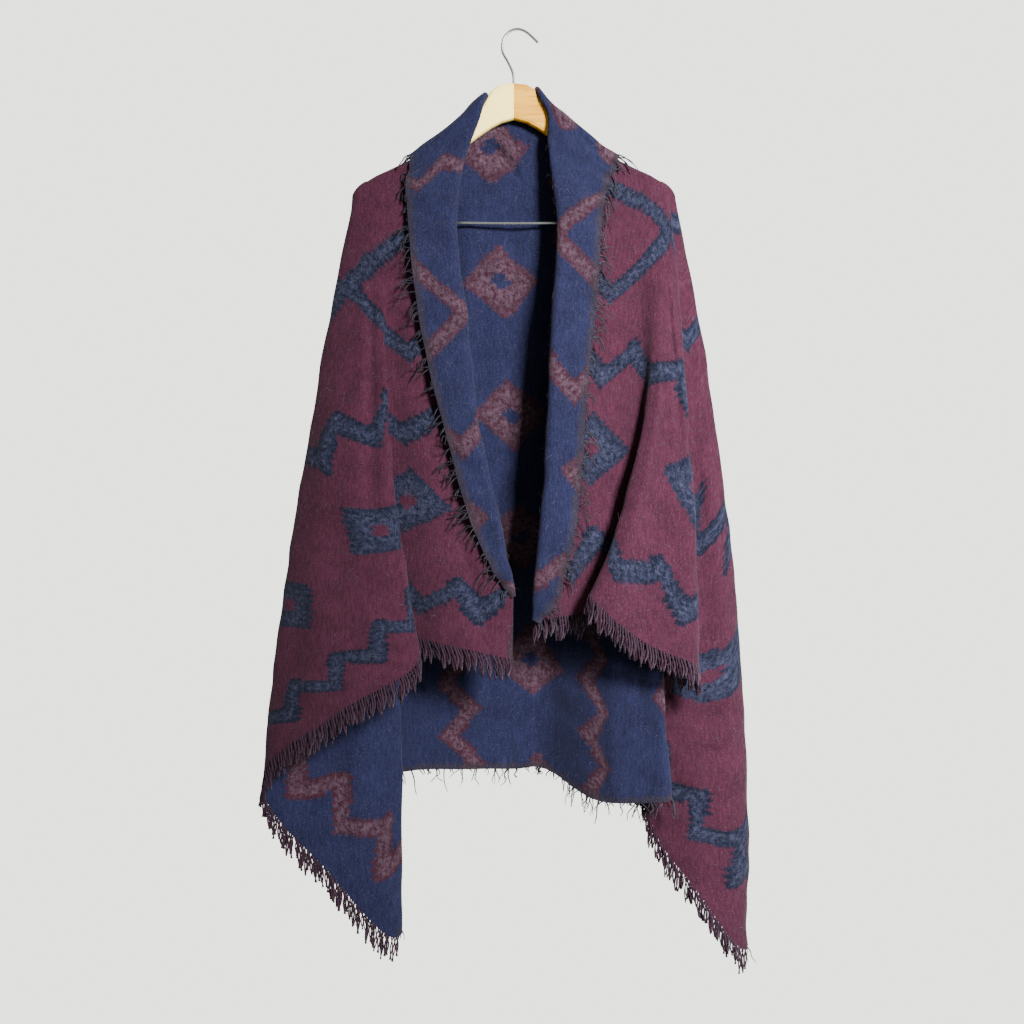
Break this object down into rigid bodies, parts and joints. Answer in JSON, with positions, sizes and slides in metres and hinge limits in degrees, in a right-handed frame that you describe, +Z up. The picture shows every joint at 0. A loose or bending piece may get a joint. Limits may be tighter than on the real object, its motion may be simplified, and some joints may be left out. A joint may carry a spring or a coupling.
{
  "type": "fringed wrap on a clothes hanger",
  "caption": "Felted wool wrap with a fringed border and turned-out shawl lapels, hung like a cape on a wooden clothes hanger with a steel hook.",
  "frame": {"origin": "inside top of the hanger's steel hook, on the middle of its wire, where the pin or rail that holds it up touches it", "axes": "+Z up, -Y out of the front of the wrap towards the viewer, +X to the viewer's right along the hanger's arms"},
  "size_m": [0.6545, 0.1516, 1.2844],
  "materials": {
    "pine": "satin",
    "steel": "polished",
    "wool": "matte, felted",
    "fringe": "matte, curly yarn"
  },
  "bodies": {
    "root": {"hanger_wood": "pine", "hanger_hook": "steel", "trouser_bar": "steel", "front_left_inner": "wool", "front_left": "wool", "side_left": "wool", "folds_left": "wool", "back_panel": "wool", "folds_right": "wool", "side_right": "wool", "front_right": "wool", "shoulder_left": "wool", "shoulder_right": "wool", "lapel_left": "wool", "collar_back": "wool", "lapel_right": "wool", "fringe_front_left": "fringe", "fringe_front_left_inner": "fringe", "fringe_side_left": "fringe", "fringe_hem_left": "fringe", "fringe_hem_back": "fringe", "fringe_hem_right": "fringe", "fringe_side_right": "fringe", "fringe_front_right": "fringe", "fringe_lapel_left": "fringe", "fringe_collar_back": "fringe", "fringe_lapel_right": "fringe"}
  },
  "joints": []
}
